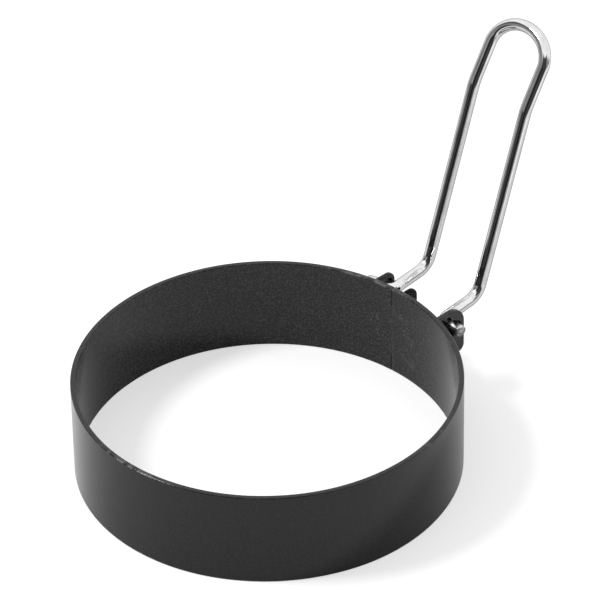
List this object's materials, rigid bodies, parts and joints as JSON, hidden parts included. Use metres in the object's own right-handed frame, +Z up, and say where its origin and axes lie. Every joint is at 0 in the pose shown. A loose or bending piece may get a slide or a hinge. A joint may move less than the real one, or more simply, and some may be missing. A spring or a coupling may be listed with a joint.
{
  "type": "egg ring",
  "caption": "Shallow round band that holds a frying egg in shape, with a wire handle that folds across it or outwards on a hinge line beside the rim.",
  "frame": {"origin": "centre of the bounding box's base, on the table under the egg ring, between the ring's axis and the handle", "axes": "+X from the ring's axis towards the side the handle leans out to, +Y along the hinge line towards the bracket with two ears, +Z up"},
  "size_m": [0.1314, 0.09, 0.0806],
  "materials": {
    "coated_steel": "satin non-stick coating",
    "bright_wire": "bright plated"
  },
  "bodies": {
    "ring": {"ring_band": "coated_steel", "left_bracket": "coated_steel", "right_bracket": "coated_steel"},
    "handle": {"wire_handle": "bright_wire"}
  },
  "joints": [
    {"name": "handle_fold", "type": "hinge", "parent": "ring", "child": "handle", "pos_m": [0.02781, 0, 0.0185], "axis": [0, 1, 0], "range_deg": [-108, 68]}
  ]
}
